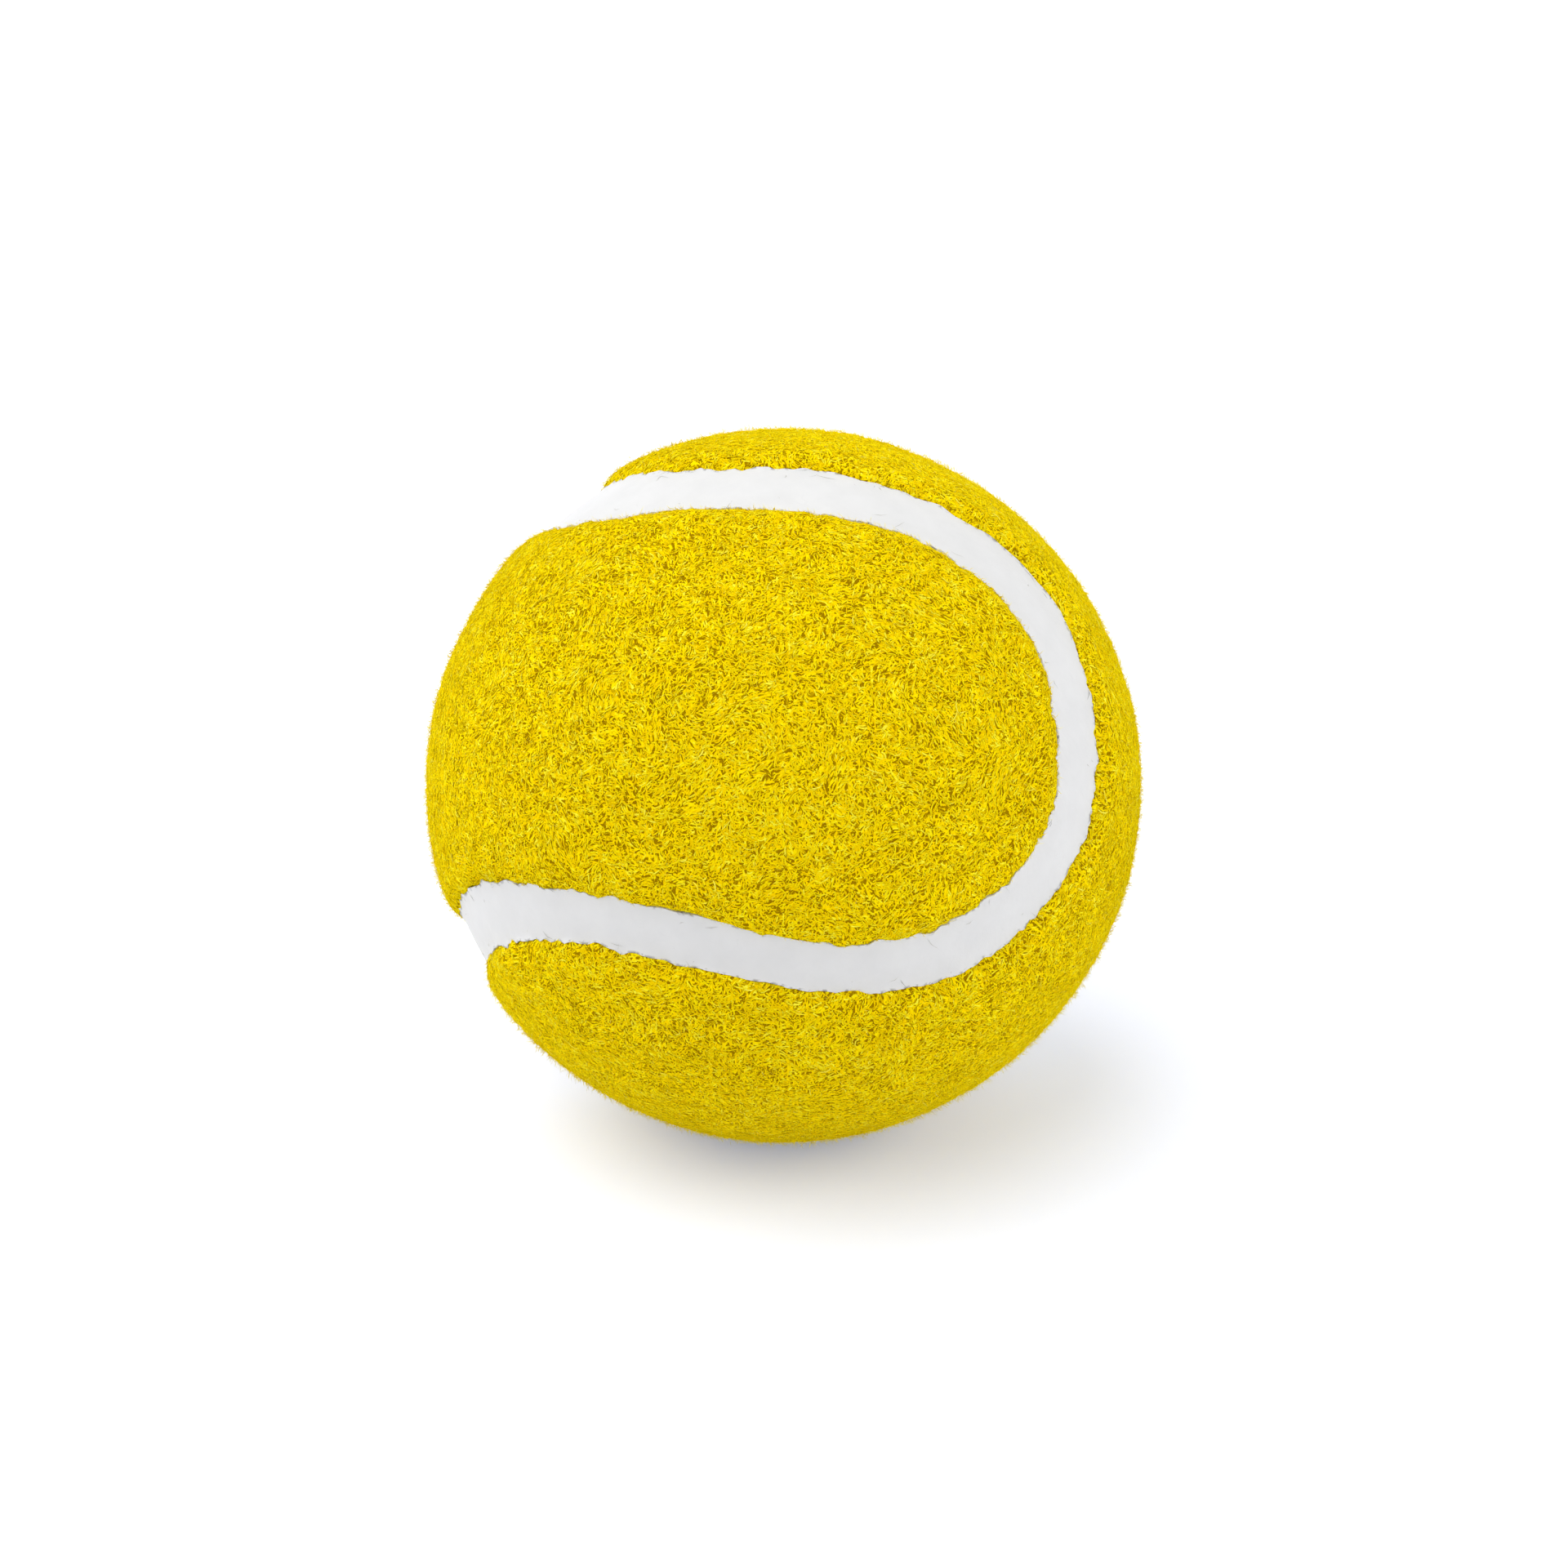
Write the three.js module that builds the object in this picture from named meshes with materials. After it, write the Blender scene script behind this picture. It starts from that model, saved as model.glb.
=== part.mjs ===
// A pet ball: a hollow rubber core of two cemented half shells, two dumbbell-shaped felt panels
// cemented over it, and a white rubber seam that fills the gap between the panels.
// Sizes are millimetres, +Z is up and the origin is the centre of the ball.
import * as THREE from "three";
import { mergeVertices } from "three/addons/utils/BufferGeometryUtils.js";

// Driving dimensions
const BALL_DIAMETER = 65; // over the felt
const FELT_THICKNESS = 2.6;
const SHOULDER_WIDTH = 2.4; // how far in from its edge a panel starts to roll down
const SHOULDER_DROP = 0.85; // how far its edge rolls down before it stands upright
const PANEL_CEMENT_THICKNESS = 0.3;
const PANEL_CEMENT_SETBACK = 0.5; // the cement stops this far short of the felt's edge
const CORE_WALL = 4;
const JOINT_CEMENT_THICKNESS = 0.4;
const JOINT_BEAD_RADIUS = 0.7; // cement squeezed out inside the core when the shells are pressed
const SEAM_WIDTH = 6.6; // from felt to felt, at the seam's own surface
const SEAM_WIDTH_DRIFT = 0.75; // panels laid by hand: the half width grows and shrinks by this much
const SEAM_DEPTH = 1; // from the top of the felt down to the seam
const SEAM_MENISCUS = 0.15; // how far the rubber climbs where it meets the felt
const SEAM_FLAT_SHARE = 0.75; // the share of the seam's width that is level between the climbs
const FIT_CLEARANCE = 0.25; // between pieces that touch

// Shape of the seam's centre line, in degrees of latitude or longitude on the ball
const SEAM_RISE = 53.9; // how far towards each pole the seam climbs
const LOBE_BLUNTNESS = 2.5; // flattens the tips of the lobes
const ARM_STRAIGHTNESS = 10.9; // straightens the four arms between the lobes
const ARM_EVENNESS = 1.3; // takes the waviness out of the straightened arms
const FRONT_LOBE_TUCK = 2.3; // draws the front panel's lobes in, and widens those of the back one
const SPINE_REACH = 107; // from the middle of a panel's waist to the centre of a lobe
const DRIFT_DIRECTION = 59; // where along the seam it is widest
const FRONT_LOBE_TIP = 7 / 8; // turns along the seam to the tip of a lobe, where a panel's spine meets it
const BACK_LOBE_TIP = 1 / 8;

// How the ball lies on the floor, in degrees
const LIE_PITCH = -77.9; // about Y
const LIE_ROLL = -3.8; // about X
const LIE_SPIN = -2; // about the waist of the panels

// Facets
const SEAM_STEPS = 88; // along the seam, a multiple of 8 so that a step falls on every lobe's tip
const SHOULDER_STEPS = 3;
const FELT_TOP_STEPS = 7; // from the shoulder to the spine of a panel
const UNDERSIDE_STEPS = 4;
const CORE_SEGMENTS = 40;
const CORE_ARC_STEPS = 10;
const BEAD_STEPS = 6;
const SLOPE_STEP = 1e-4; // radians along the seam, to find its direction

// Radii of the layers, from the outside in
const BALL_RADIUS = BALL_DIAMETER / 2;
const SEAM_RADIUS = BALL_RADIUS - SEAM_DEPTH;
const FELT_UNDERSIDE_RADIUS = BALL_RADIUS - FELT_THICKNESS;
const CEMENT_TOP_RADIUS = FELT_UNDERSIDE_RADIUS - FIT_CLEARANCE;
const CEMENT_UNDERSIDE_RADIUS = CEMENT_TOP_RADIUS - PANEL_CEMENT_THICKNESS;
const CORE_RADIUS = CEMENT_UNDERSIDE_RADIUS - FIT_CLEARANCE;
const HOLLOW_RADIUS = CORE_RADIUS - CORE_WALL;
const RIM_HEIGHT = JOINT_CEMENT_THICKNESS / 2 + FIT_CLEARANCE; // of a half shell's rim above the joint

const TURN = 2 * Math.PI;
const radians = THREE.MathUtils.degToRad;

const coreRubber = new THREE.MeshStandardMaterial({ color: 0x4a443d, roughness: 0.75, metalness: 0 });
const jointCement = new THREE.MeshStandardMaterial({ color: 0xb9a27a, roughness: 0.5, metalness: 0 });
const panelCement = new THREE.MeshStandardMaterial({ color: 0xd8cfae, roughness: 0.6, metalness: 0 });
const yellowFelt = new THREE.MeshStandardMaterial({ color: 0xdec109, roughness: 1, metalness: 0 });
const whiteRubber = new THREE.MeshStandardMaterial({ color: 0xe8e8e6, roughness: 0.6, metalness: 0 });

function piece(name, geometry, material) {
  const mesh = new THREE.Mesh(geometry, material);
  mesh.name = name;
  return mesh;
}

// The seam's centre line on a ball of radius 1, with the waist of the front panel at +Z
// and the waist of the back panel at -Z. It closes after one turn of t.
function seamLine(t) {
  const latitude = radians(SEAM_RISE * Math.sin(2 * t) + LOBE_BLUNTNESS * Math.sin(6 * t));
  const longitude =
    t -
    radians(ARM_STRAIGHTNESS * Math.sin(4 * t) + ARM_EVENNESS * Math.sin(8 * t)) -
    radians(FRONT_LOBE_TUCK * Math.cos(2 * t));
  return new THREE.Vector3(
    Math.cos(latitude) * Math.cos(longitude),
    Math.cos(latitude) * Math.sin(longitude),
    Math.sin(latitude),
  );
}

// A point on the unit ball at a distance from the centre line, measured along the seam's surface.
// side is 1 towards the front panel and -1 towards the back panel.
function besideSeam(t, side, distance) {
  const point = seamLine(t);
  const along = seamLine(t + SLOPE_STEP).sub(seamLine(t - SLOPE_STEP));
  const across = new THREE.Vector3().crossVectors(point, along).normalize();
  const angle = (side * distance) / SEAM_RADIUS;
  return point.multiplyScalar(Math.cos(angle)).addScaledVector(across, Math.sin(angle));
}

// Half the gap between the two felt panels
function halfGap(t) {
  return SEAM_WIDTH / 2 + SEAM_WIDTH_DRIFT * Math.cos(t - radians(DRIFT_DIRECTION));
}

function lobeTip(side) {
  return side > 0 ? FRONT_LOBE_TIP : BACK_LOBE_TIP;
}

// The step across a panel from the given one: the seam has the same shape on both sides of its spine.
function oppositeStep(step, side) {
  const tipStep = lobeTip(side) * SEAM_STEPS;
  return (2 * tipStep - step + SEAM_STEPS) % SEAM_STEPS;
}

// The spine runs over the middle of a panel, from the centre of one lobe through the waist to the other.
// Its point beside a step of the seam lies square to the spine, drawn in towards the lobe's centre.
function spinePoint(step, side) {
  const shared = Math.min(step, oppositeStep(step, side));
  const waist = new THREE.Vector3(0, 0, side);
  const lobe = new THREE.Vector3(1, -side, 0).normalize();
  const reachBeside = (t) => Math.atan2(seamLine(t).dot(lobe), seamLine(t).dot(waist));
  const share = reachBeside((shared / SEAM_STEPS) * TURN) / reachBeside(lobeTip(side) * TURN);
  const reach = radians(SPINE_REACH) * Math.sin((share * Math.PI) / 2);
  return waist.multiplyScalar(Math.cos(reach)).addScaledVector(lobe, Math.sin(reach));
}

// Part of the way over the ball from one unit vector to another
function partWay(from, to, share) {
  const angle = from.angleTo(to);
  return from
    .clone()
    .multiplyScalar(Math.sin((1 - share) * angle))
    .addScaledVector(to, Math.sin(share * angle))
    .normalize();
}

// Joins rings of points into one closed surface. Each ring has a point for every step along the seam,
// and neighbouring rings are joined by a strip, the last one back to the first where the rings close.
function surfaceThroughRings(rings, closesOnItself) {
  const positions = rings.flat().flatMap((point) => point.toArray());
  const triangles = [];
  const strips = closesOnItself ? rings.length : rings.length - 1;
  for (let ring = 0; ring < strips; ring += 1) {
    const here = ring * SEAM_STEPS;
    const next = ((ring + 1) % rings.length) * SEAM_STEPS;
    for (let step = 0; step < SEAM_STEPS; step += 1) {
      const ahead = (step + 1) % SEAM_STEPS;
      triangles.push(here + step, here + ahead, next + ahead);
      triangles.push(here + step, next + ahead, next + step);
    }
  }
  const geometry = new THREE.BufferGeometry();
  geometry.setAttribute("position", new THREE.Float32BufferAttribute(positions, 3));
  geometry.setIndex(triangles);
  const merged = mergeVertices(geometry);
  merged.computeVertexNormals();
  return merged;
}

function ringOf(pointAt) {
  return Array.from({ length: SEAM_STEPS }, (_, step) => pointAt(step, (step / SEAM_STEPS) * TURN));
}

// A panel laid over the ball on one side of the seam. Its section runs from the underside's edge up and
// over to the top, as pairs of inset from the panel's edge and radius.
function panelGeometry(side, edgeInset, section, topSteps) {
  const edge = (t, inset) => besideSeam(t, side, halfGap(t) + edgeInset + inset);
  const faceRing = (inset, radius, share) =>
    ringOf((step, t) => partWay(edge(t, inset), spinePoint(step, side), share).multiplyScalar(radius));
  const first = section[0];
  const last = section[section.length - 1];
  const rings = [];
  for (let row = UNDERSIDE_STEPS; row > 0; row -= 1) {
    rings.push(faceRing(first.inset, first.radius, row / UNDERSIDE_STEPS));
  }
  for (const { inset, radius } of section) {
    rings.push(ringOf((_, t) => edge(t, inset).multiplyScalar(radius)));
  }
  for (let row = 1; row <= topSteps; row += 1) {
    rings.push(faceRing(last.inset, last.radius, row / topSteps));
  }
  return surfaceThroughRings(side > 0 ? rings : rings.reverse(), false);
}

// Felt, cut to a dumbbell and stretched over the core. Its edge stands upright beside the seam
// and rolls over into the top in a soft shoulder.
function feltPanel(name, side) {
  const section = [{ inset: 0, radius: FELT_UNDERSIDE_RADIUS }];
  for (let step = 0; step <= SHOULDER_STEPS; step += 1) {
    const share = step / SHOULDER_STEPS;
    section.push({
      inset: SHOULDER_WIDTH * share,
      radius: BALL_RADIUS - SHOULDER_DROP * (1 - share) ** 2,
    });
  }
  return piece(name, panelGeometry(side, 0, section, FELT_TOP_STEPS), yellowFelt);
}

// The coat of cement that holds a felt panel to the core
function cementCoat(name, side) {
  const section = [
    { inset: 0, radius: CEMENT_UNDERSIDE_RADIUS },
    { inset: 0, radius: CEMENT_TOP_RADIUS },
  ];
  const geometry = panelGeometry(side, PANEL_CEMENT_SETBACK, section, UNDERSIDE_STEPS);
  return piece(name, geometry, panelCement);
}

// The endless band of white rubber between the panels. Its top is slightly hollow, because the rubber
// climbs where it meets the felt.
function seamBand() {
  const floorRadius = CORE_RADIUS + FIT_CLEARANCE;
  const section = [
    { across: 1, radius: floorRadius },
    { across: 0, radius: floorRadius },
    { across: -1, radius: floorRadius },
    { across: -1, radius: SEAM_RADIUS + SEAM_MENISCUS },
    { across: -SEAM_FLAT_SHARE, radius: SEAM_RADIUS },
    { across: 0, radius: SEAM_RADIUS },
    { across: SEAM_FLAT_SHARE, radius: SEAM_RADIUS },
    { across: 1, radius: SEAM_RADIUS + SEAM_MENISCUS },
  ];
  const rings = section.map(({ across, radius }) =>
    ringOf((_, t) => besideSeam(t, 1, across * (halfGap(t) - FIT_CLEARANCE)).multiplyScalar(radius)),
  );
  return piece("seam_band", surfaceThroughRings(rings, true), whiteRubber);
}

// Points of an arc about the centre, from one height above the joint to the pole or back
function arcPoints(radius, lowHeight) {
  const start = Math.asin(lowHeight / radius);
  return Array.from({ length: CORE_ARC_STEPS + 1 }, (_, step) => {
    const angle = start + (step / CORE_ARC_STEPS) * (Math.PI / 2 - start);
    return new THREE.Vector2(step < CORE_ARC_STEPS ? radius * Math.cos(angle) : 0, radius * Math.sin(angle));
  });
}

// A moulded half shell of the core, with a flat ground rim
function coreShell(name, upper) {
  const outside = arcPoints(CORE_RADIUS, RIM_HEIGHT);
  const inside = arcPoints(HOLLOW_RADIUS, RIM_HEIGHT);
  const geometry = new THREE.LatheGeometry([...inside.reverse(), ...outside], CORE_SEGMENTS);
  geometry.rotateX(upper ? Math.PI / 2 : -Math.PI / 2);
  return piece(name, geometry, coreRubber);
}

// The cement between the rims: a thin web that ends flush with the core outside, and in a round bead inside
function coreJoint() {
  const halfWeb = JOINT_CEMENT_THICKNESS / 2;
  const beadCentre = HOLLOW_RADIUS - FIT_CLEARANCE - JOINT_BEAD_RADIUS;
  const webStart = Math.asin(halfWeb / JOINT_BEAD_RADIUS);
  const bead = Array.from({ length: BEAD_STEPS + 1 }, (_, step) => {
    const angle = webStart + (step / BEAD_STEPS) * (TURN - 2 * webStart);
    return new THREE.Vector2(
      beadCentre + JOINT_BEAD_RADIUS * Math.cos(angle),
      JOINT_BEAD_RADIUS * Math.sin(angle),
    );
  });
  const rim = [new THREE.Vector2(CORE_RADIUS, -halfWeb), new THREE.Vector2(CORE_RADIUS, halfWeb)];
  const geometry = new THREE.LatheGeometry([...bead, ...rim, bead[0].clone()], CORE_SEGMENTS);
  geometry.rotateX(Math.PI / 2);
  return piece("core_joint_cement", geometry, jointCement);
}

const core = new THREE.Group();
core.add(coreShell("core_shell_lower", false), coreShell("core_shell_upper", true), coreJoint());

const cover = new THREE.Group();
cover.add(cementCoat("panel_cement_front", 1), cementCoat("panel_cement_back", -1));
cover.add(feltPanel("felt_panel_front", 1), feltPanel("felt_panel_back", -1));
cover.add(seamBand());
cover.rotation.set(radians(LIE_ROLL), radians(LIE_PITCH), radians(LIE_SPIN), "YXZ");

const ball = new THREE.Group();
ball.add(core, cover);
export default ball;
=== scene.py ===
# The looks of a pet ball: a hollow rubber core, two felt panels cemented over it, and a white rubber
# seam between the panels. Metres, +Z up, with the origin at the centre of the ball.
import math

import bpy
import numpy as np
from mathutils import Matrix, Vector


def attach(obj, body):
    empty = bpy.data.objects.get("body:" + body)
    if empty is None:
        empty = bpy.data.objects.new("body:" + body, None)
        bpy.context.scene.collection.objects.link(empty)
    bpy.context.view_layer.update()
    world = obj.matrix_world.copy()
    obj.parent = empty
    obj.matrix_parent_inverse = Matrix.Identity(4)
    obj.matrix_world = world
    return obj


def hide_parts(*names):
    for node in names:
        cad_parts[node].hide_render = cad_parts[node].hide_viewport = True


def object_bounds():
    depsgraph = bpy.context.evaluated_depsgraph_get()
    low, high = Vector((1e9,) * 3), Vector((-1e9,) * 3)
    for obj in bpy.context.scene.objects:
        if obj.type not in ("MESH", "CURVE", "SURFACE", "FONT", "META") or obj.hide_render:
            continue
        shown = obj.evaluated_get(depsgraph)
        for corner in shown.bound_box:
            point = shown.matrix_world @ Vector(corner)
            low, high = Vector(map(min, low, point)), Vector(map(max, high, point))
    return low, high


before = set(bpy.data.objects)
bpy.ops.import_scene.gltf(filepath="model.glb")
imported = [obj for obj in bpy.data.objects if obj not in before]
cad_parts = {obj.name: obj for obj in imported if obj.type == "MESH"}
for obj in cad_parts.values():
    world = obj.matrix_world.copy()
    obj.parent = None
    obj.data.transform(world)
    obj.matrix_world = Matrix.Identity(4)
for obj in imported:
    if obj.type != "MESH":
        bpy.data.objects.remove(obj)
cad_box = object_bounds()


# The core: two moulded half shells of dark grey-brown rubber, matt from the mould, with their rims
# ground flat so that the cement holds. The felt hides them.
CORE_GRAIN = 0.0018
CORE_SHADES = ((0.25, (0.055, 0.047, 0.038, 1)), (0.75, (0.078, 0.068, 0.056, 1)))
CORE_ROUGHNESS = 0.75
MOULD_SKIN = 0.00003
SKIN_FINENESS = 6  # how much finer the skin of rubber or cement is than its mottle
GRAIN_FALLOFF = 0.55  # how strong each finer noise in a grain is against the one before


def add(tree, kind, given=None, **settings):
    """Puts a node in a tree. What it is given is, by input, a value or the socket that feeds it."""
    made = tree.nodes.new(kind)
    for setting, value in settings.items():
        setattr(made, setting, value)
    for key, value in (given or {}).items():
        if isinstance(value, bpy.types.NodeSocket):
            tree.links.new(value, made.inputs[key])
        else:
            made.inputs[key].default_value = value
    return made


def maths(tree, operation, *numbers):
    return add(tree, "ShaderNodeMath", dict(enumerate(numbers)), operation=operation).outputs[0]


def within(tree, value, low, high):
    """0 at or below the low value, 1 at or above the high one, and even between."""
    return add(tree, "ShaderNodeMapRange", {"Value": value, "From Min": low, "From Max": high}).outputs[0]


def surface(name, roughness, shine=0.5):
    """A new material, its node tree and its shader."""
    material = bpy.data.materials.new(name)
    material.use_nodes = True
    shader = material.node_tree.nodes["Principled BSDF"]
    shader.inputs["Roughness"].default_value = roughness
    shader.inputs["Specular IOR Level"].default_value = shine
    return material, material.node_tree, shader


def place_on_piece(tree):
    return add(tree, "ShaderNodeTexCoord").outputs["Object"]


def grain(tree, size, detail=4.0):
    """Noise from 0 to 1 with grains of about this size."""
    given = {"Vector": place_on_piece(tree), "Scale": 1 / size, "Detail": detail, "Roughness": GRAIN_FALLOFF}
    return add(tree, "ShaderNodeTexNoise", given).outputs["Fac"]


def shades(tree, share, stops):
    """The colours that a share from 0 to 1 runs through."""
    ramp = add(tree, "ShaderNodeValToRGB", {"Fac": share})
    elements = ramp.color_ramp.elements
    while len(elements) < len(stops):
        elements.new(0.5)
    for element, (position, colour) in zip(elements, stops):
        element.position = position
        element.color = colour
    return ramp.outputs["Color"]


def relief(tree, height, depth):
    """A bump whose height from 0 to 1 stands for a real depth."""
    return add(tree, "ShaderNodeBump", {"Height": height, "Distance": depth}).outputs["Normal"]


def rubber(name, size, stops, roughness, skin):
    """Cured rubber: faintly mottled, with a fine skin from the mould or the roller."""
    material, tree, shader = surface(name, roughness)
    tree.links.new(shades(tree, grain(tree, size), stops), shader.inputs["Base Color"])
    tree.links.new(relief(tree, grain(tree, size / SKIN_FINENESS), skin), shader.inputs["Normal"])
    return material


def dress(node, material):
    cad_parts[node].material_slots[0].material = material


core_rubber = rubber("core rubber", CORE_GRAIN, CORE_SHADES, CORE_ROUGHNESS, MOULD_SKIN)
dress("core_shell_lower", core_rubber)
dress("core_shell_upper", core_rubber)


# The ring of tan rubber cement that joins the half shells. It is pressed out between the rims, so
# it ends in a bead inside the core.
JOINT_GRAIN = 0.0009
JOINT_SHADES = ((0.3, (0.42, 0.3, 0.16, 1)), (0.7, (0.53, 0.4, 0.24, 1)))
JOINT_ROUGHNESS = 0.45
BEAD_SKIN = 0.00002

joint_cement = rubber("joint cement", JOINT_GRAIN, JOINT_SHADES, JOINT_ROUGHNESS, BEAD_SKIN)
dress("core_joint_cement", joint_cement)


# The coats of cream cement that hold the felt panels, rolled onto the core and onto the back of the
# felt. They show nowhere on a whole ball.
COAT_GRAIN = 0.0006
COAT_SHADES = ((0.3, (0.6, 0.52, 0.34, 1)), (0.7, (0.71, 0.64, 0.46, 1)))
COAT_ROUGHNESS = 0.6
ROLLED_SKIN = 0.00004

panel_cement = rubber("panel cement", COAT_GRAIN, COAT_SHADES, COAT_ROUGHNESS, ROLLED_SKIN)
dress("panel_cement_front", panel_cement)
dress("panel_cement_back", panel_cement)


# The two felt panels: yellow needled felt 2.6 mm thick, die cut to a dumbbell, stretched over the
# core and cemented down. Their cut edges are ragged and roll over in a soft shoulder, and the
# needled surface lies in small clumps and pits.
SEAM_RISE = 53.9  # the seam's shape, in degrees of latitude and longitude on the ball
LOBE_BLUNTNESS = 2.5
ARM_STRAIGHTNESS = 10.9
ARM_EVENNESS = 1.3
FRONT_LOBE_TUCK = 2.3
SPINE_REACH = 107
DRIFT_DIRECTION = 59
LIE_PITCH = -77.9  # how the cover lies, in degrees about Y, X and the waist of the panels
LIE_ROLL = -3.8
LIE_SPIN = -2
SEAM_WIDTH = 0.0066
SEAM_WIDTH_DRIFT = 0.00075
SEAM_MENISCUS = 0.00015
SEAM_WINDING = 1.5  # the seam is about this many times as long as the ball's girth
SMALL_TURN = 1e-4  # an angle along the seam that is short enough to give its direction
LOBE_TIPS = {1: 7 / 8, -1: 1 / 8}  # share of the seam up to a tip of the front and of the back panel
SHOULDER_WIDTH = 0.0024
SHOULDER_DROP = 0.00085
TUFTS = (  # spacing and depth of the tufts along a cut edge
    (0.0075, 0.0002),
    (0.0024, 0.00016),
    (0.001, 0.00017),
    (0.0005, 0.00013),
)
TUFT_STRAY = 0.3  # how far a tuft may lie from its even place, in spacings
NOTCH_COUNT = 36  # torn places along a cut edge
NOTCH_DEPTHS = (0.00015, 0.00045)
NOTCH_HALF_WIDTH = 0.0006
# Wide places where the front (1) or the back (-1) panel lies back from the seam, or nearer to it. Each
# has its middle and its half width, as angles along the seam, and its depth.
RECESSES = {
    1: ((3.66, 0.17, 0.0013), (4.1, 0.4, 0.0009), (0.38, 0.28, 0.0009), (5.68, 0.25, 0.0007)),
    -1: ((4.74, 0.3, -0.0004), (5.66, 0.2, -0.0005), (5.96, 0.24, 0.0006), (0.23, 0.22, -0.0011)),
}
CLUMPS = (0.0015, 0.00014)  # size and height of the clumps
LUMPS = (0.011, 0.0002)  # size and height of the uneven places in the padding below them
NEEDLED_DETAIL = {"Clump": 2.0, "Lump": 0.0}  # how many finer noises the clumps and the lumps hold
NEEDLED_FALLOFF = 0.6
LOFT = 0.00037  # how far the pile stands over the mean surface
PANEL_STEPS = 1440  # along the seam
UNDERSIDE_ROWS = 4
SHOULDER_ROWS = 8
TOP_ROWS = 34
WALL_NAP = 0.1
STRAND_WIDTH = 0.00014
STRAND_FADE = (0.3, 0.6)  # where a strand begins to end, and ends, in widths from its middle line
STRAND_CELLS = (0.0011, 0.00098, 0.00087, 0.00078, 0.0007, 0.00062, 0.00056)
STRAND_CURL = (0.0012, 0.0005)  # size and reach of the bends in the strands
STRAND_DEPTH = 0.0001
SWEEP_SIZE = 0.006  # size of the places where the strands lean alike
SWEEP_STRENGTH = 3.0
CREST_RANGE = (0.3, 0.7)  # the clumps' noise in their pits and on their crests
# Painted shade: the felt is painted darker in the clumps' pits and lighter on their crests.
PIT_SHADE_SHARE = 0.3  # how much of the range of shades lies between pits and crests
FELT_ROUGHNESS = 0.95
# From the gaps between strands, painted dark as the shade between them, through dull and bright dyed
# strands, to the palest, a painted glint.
FELT_SHADES = (
    (0.05, (0.32, 0.18, 0.0002, 1)),
    (0.24, (0.92, 0.62, 0.0004, 1)),
    (0.46, (1.0, 0.71, 0.0006, 1)),
    (0.82, (1.0, 0.82, 0.002, 1)),
    (1.0, (1.0, 0.92, 0.05, 1)),
)
FELT_SHEEN = (1, 0.84, 0.01, 1)
SHEEN_SPREAD = 0.35


def layer(node):
    """The least and the greatest distance of a CAD node's corners from the centre of the ball."""
    corners = np.array([corner.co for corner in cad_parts[node].data.vertices])
    distances = np.linalg.norm(corners, axis=1)
    return float(distances.min()), float(distances.max())


felt_underside, ball_radius = layer("felt_panel_front")
seam_floor, seam_edge_radius = layer("seam_band")
seam_radius = seam_edge_radius - SEAM_MENISCUS
floor_height = cad_box[0].z
turns = np.linspace(0, 2 * math.pi, PANEL_STEPS, endpoint=False)
cover_lie = np.array(
    Matrix.Rotation(math.radians(LIE_PITCH), 3, "Y")
    @ Matrix.Rotation(math.radians(LIE_ROLL), 3, "X")
    @ Matrix.Rotation(math.radians(LIE_SPIN), 3, "Z")
)


def seam_line(turn):
    """Directions along the middle of the seam. Before the cover is laid, the front waist is at +Z."""
    latitude = np.radians(SEAM_RISE * np.sin(2 * turn) + LOBE_BLUNTNESS * np.sin(6 * turn))
    sway = ARM_STRAIGHTNESS * np.sin(4 * turn) + ARM_EVENNESS * np.sin(8 * turn)
    longitude = turn - np.radians(sway + FRONT_LOBE_TUCK * np.cos(2 * turn))
    level = np.cos(latitude)
    return np.stack([level * np.cos(longitude), level * np.sin(longitude), np.sin(latitude)], axis=-1)


def beside_seam(turn, side, distance):
    """Directions at a distance from the middle of the seam, towards the front (1) or back (-1) panel."""
    point = seam_line(turn)
    across = np.cross(point, seam_line(turn + SMALL_TURN) - seam_line(turn - SMALL_TURN))
    across /= np.linalg.norm(across, axis=1, keepdims=True)
    angle = np.broadcast_to(side * distance / seam_radius, len(point))[:, None]
    return point * np.cos(angle) + across * np.sin(angle)


def closed_noise(random, spacing, depth):
    """Straight cuts between random heights, one to each spacing, that meet again after one turn."""
    knots = round(2 * math.pi * ball_radius * SEAM_WINDING / spacing)
    heights = random.uniform(-depth, depth, knots)
    places = (np.arange(knots) + random.uniform(-TUFT_STRAY, TUFT_STRAY, knots)) / knots * 2 * math.pi
    return np.interp(turns, places, heights, period=2 * math.pi)


def cut_edge(seed):
    """Half the gap at a panel's ragged edge, along the seam."""
    random = np.random.default_rng(seed)
    gap = SEAM_WIDTH / 2 + SEAM_WIDTH_DRIFT * np.cos(turns - math.radians(DRIFT_DIRECTION))
    for spacing, depth in TUFTS:
        gap = gap + closed_noise(random, spacing, depth)
    for place in random.uniform(0, 2 * math.pi, NOTCH_COUNT):
        away = np.abs((turns - place + math.pi) % (2 * math.pi) - math.pi) * ball_radius * SEAM_WINDING
        gap = gap + random.uniform(*NOTCH_DEPTHS) * np.clip(1 - away / NOTCH_HALF_WIDTH, 0, 1)
    return gap


def recess(side):
    """How far a panel's edge lies back in its wide places."""
    return sum(
        depth * np.cos(np.clip((turns - middle) / half_width, -1, 1) * math.pi / 2) ** 2
        for middle, half_width, depth in RECESSES[side]
    )


front_edge = cut_edge(seed=11) + recess(1)
back_edge = cut_edge(seed=12) + recess(-1)


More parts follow.
